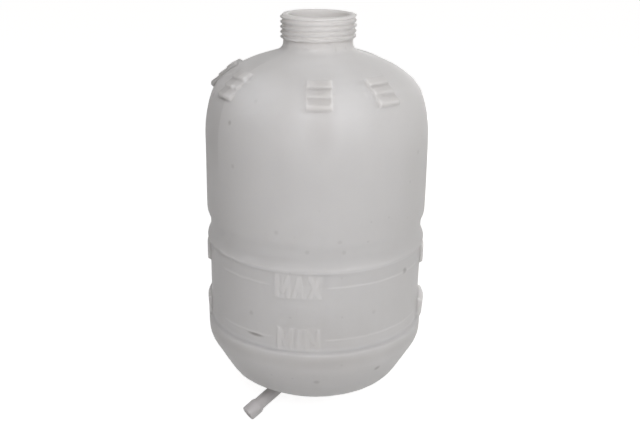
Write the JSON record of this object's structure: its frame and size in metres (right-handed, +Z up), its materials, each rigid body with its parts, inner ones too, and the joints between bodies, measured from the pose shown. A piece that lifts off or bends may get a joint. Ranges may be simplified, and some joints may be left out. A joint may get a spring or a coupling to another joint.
{
  "type": "coolant expansion tank",
  "caption": "Round blown plastic expansion tank with a threaded filler neck, level marks, a strap channel and a bottom hose spigot.",
  "frame": {"origin": "centre of the strap's circle, on the tank's axis, at the middle height of the strap channel", "axes": "+Z up along the tank's axis, out of the filler neck; -Y towards the side that carries the level marks"},
  "size_m": [0.1493, 0.1468, 0.2763],
  "materials": {
    "natural_polyethylene": "natural milky polyethylene, satin and translucent, as blown"
  },
  "bodies": {
    "root": {"tank": "natural_polyethylene"}
  },
  "joints": []
}
